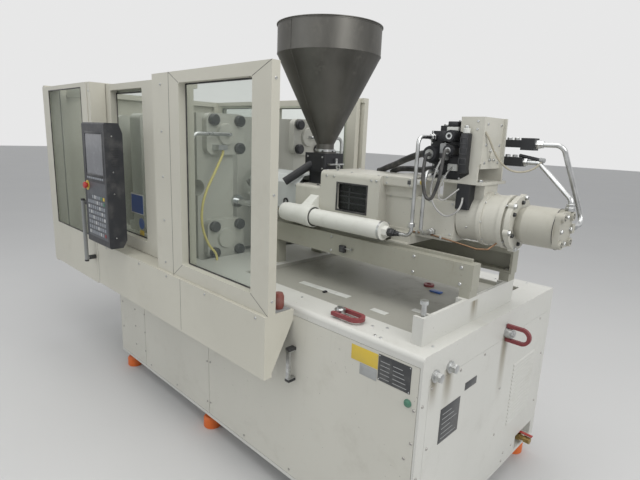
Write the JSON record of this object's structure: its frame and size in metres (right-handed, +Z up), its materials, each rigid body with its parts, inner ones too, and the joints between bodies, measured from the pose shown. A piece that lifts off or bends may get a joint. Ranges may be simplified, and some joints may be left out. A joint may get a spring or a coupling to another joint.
{
  "type": "injection moulding machine",
  "caption": "Horizontal injection moulding machine with glazed guard doors, control console, steel hopper, sliding injection carriage and a white base on orange feet.",
  "frame": {"origin": "on the floor under the middle of the machine's outer box", "axes": "+X towards the injection motor, -Y towards the operator, +Z up"},
  "size_m": [3.4, 1.628, 2.2],
  "materials": {
    "machine_paint": "off-white semi-gloss enamel with faint orange peel, scuffs and oil marks",
    "orange_feet": "bright orange paint, dusty",
    "plated_steel": "zinc-plated or polished steel, slightly dull",
    "valve_brass": "brass, dull and oily",
    "red_paint": "red coated lever",
    "tray_grey": "grey painted tray, oily and scratched",
    "beam_grey": "grey-olive paint with drips and stains",
    "clear_panes": "clear polycarbonate with a faint green edge",
    "handle_grey": "grey tube on black stand-offs",
    "ring_red": "dark red paint, chipped",
    "console_charcoal": "charcoal moulded housing, fine grain",
    "screen_glass": "dark display glass",
    "keypad_film": "dark membrane keys",
    "stop_red": "red moulded knob",
    "black_plastic": "black moulded caps",
    "chromed_bar": "hard-chromed, polished, with oil film",
    "tool_steel": "machined tool steel, heat-tinted",
    "tinted_pane": "grey tinted window",
    "heater_grey": "sheet-steel heater bands",
    "cover_white": "cool white sheet cover",
    "black_metal": "black enamelled castings and solenoids",
    "hopper_steel": "dull rolled stainless sheet with dust",
    "yellow_hose": "translucent yellow plastic hose",
    "black_rubber": "black rubber cable sheath"
  },
  "bodies": {
    "root": {"base_frame": "machine_paint", "bed_beams": "machine_paint", "levelling_feet": "orange_feet", "front_panels": "machine_paint", "end_cover": "machine_paint", "plated_fittings": "plated_steel", "drain_pipe": "valve_brass", "drip_tray": "tray_grey", "end_crossbeam": "machine_paint", "slide_beams": "beam_grey", "guard_frame": "machine_paint", "apron": "machine_paint", "fixed_guard": "machine_paint", "guard_panes": "clear_panes", "rear_guard": "machine_paint", "console_bracket": "beam_grey", "console_housing": "console_charcoal", "console_screen": "screen_glass", "console_keypad": "keypad_film", "fixed_platen": "machine_paint", "corner_heads": "machine_paint", "cap_knobs": "black_plastic", "platen_pipes": "plated_steel", "tie_bars": "chromed_bar", "clamp_end_plate": "machine_paint", "clamp_cylinder": "machine_paint", "cylinder_rods": "chromed_bar", "yellow_hoses": "yellow_hose"},
    "operator_door_body": {"operator_door": "machine_paint", "operator_door_pane": "clear_panes"},
    "clamp_door_body": {"clamp_door": "machine_paint", "clamp_door_pane": "clear_panes", "clamp_door_handle": "handle_grey"},
    "rear_door_body": {"rear_door": "machine_paint", "rear_door_pane": "clear_panes"},
    "front_ring_body": {"lifting_ring_front": "ring_red"},
    "end_ring_body": {"lifting_ring_end": "ring_red"},
    "drain_lever_body": {"drain_lever": "red_paint"},
    "stop_button_body": {"stop_button": "stop_red"},
    "moving_platen_body": {"moving_platen": "machine_paint", "clamp_ram": "chromed_bar"},
    "ejector_body": {"ejector": "tool_steel"},
    "carriage_body": {"carriage_housing": "machine_paint", "sight_window": "tinted_pane", "barrel": "tool_steel", "heater_bands": "heater_grey", "barrel_cover": "cover_white", "hopper_slide": "black_metal", "hopper": "hopper_steel", "carriage_cylinders": "machine_paint", "injection_housing": "machine_paint", "screw_motor": "machine_paint", "valve_brackets": "machine_paint", "valve_stack": "black_metal", "steel_pipes": "plated_steel", "motor_pipes": "plated_steel", "valve_loom": "black_rubber"},
    "hopper_gate_body": {"hopper_gate": "plated_steel"},
    "screw_body": {"screw": "tool_steel"},
    "drive_sleeve_body": {"drive_sleeve": "tool_steel"}
  },
  "joints": [
    {"name": "operator_door_slide", "type": "slide", "parent": "root", "child": "operator_door_body", "axis": [-1, 0, 0], "range_m": [0, 0.72]},
    {"name": "clamp_door_hinge", "type": "hinge", "parent": "root", "child": "clamp_door_body", "pos_m": [-1.684, -0.671, 1.28], "axis": [0, 0, -1], "range_deg": [0, 100]},
    {"name": "rear_door_slide", "type": "slide", "parent": "root", "child": "rear_door_body", "axis": [-1, 0, 0], "range_m": [0, 0.7]},
    {"name": "front_ring_hinge", "type": "hinge", "parent": "root", "child": "front_ring_body", "pos_m": [1.06, -0.466, 0.961], "axis": [0, -1, 0], "range_deg": [0, 175]},
    {"name": "end_ring_hinge", "type": "hinge", "parent": "root", "child": "end_ring_body", "pos_m": [1.517, 0.126, 0.853], "axis": [0, 0, 1], "range_deg": [-80, 80]},
    {"name": "drain_lever_turn", "type": "hinge", "parent": "root", "child": "drain_lever_body", "pos_m": [1.48, 0.499, 0.192], "axis": [0, 0, 1], "range_deg": [0, 90]},
    {"name": "stop_button_press", "type": "slide", "parent": "root", "child": "stop_button_body", "axis": [0, 1, 0], "range_m": [0, 0.006], "stiffness_N_per_m": 1500},
    {"name": "clamp_stroke", "type": "slide", "parent": "root", "child": "moving_platen_body", "axis": [1, 0, 0], "range_m": [0, 0.38]},
    {"name": "ejector_stroke", "type": "slide", "parent": "moving_platen_body", "child": "ejector_body", "axis": [1, 0, 0], "range_m": [0, 0.07]},
    {"name": "carriage_stroke", "type": "slide", "parent": "root", "child": "carriage_body", "axis": [1, 0, 0], "range_m": [0, 0.25]},
    {"name": "hopper_gate_slide", "type": "slide", "parent": "carriage_body", "child": "hopper_gate_body", "axis": [1, 0, 0], "range_m": [0, 0.06]},
    {"name": "screw_turn", "type": "hinge", "parent": "carriage_body", "child": "drive_sleeve_body", "pos_m": [1.4, 0.069, 1.34], "axis": [1, 0, 0], "continuous": true},
    {"name": "screw_stroke", "type": "slide", "parent": "drive_sleeve_body", "child": "screw_body", "axis": [1, 0, 0], "range_m": [0, 0.1]}
  ]
}
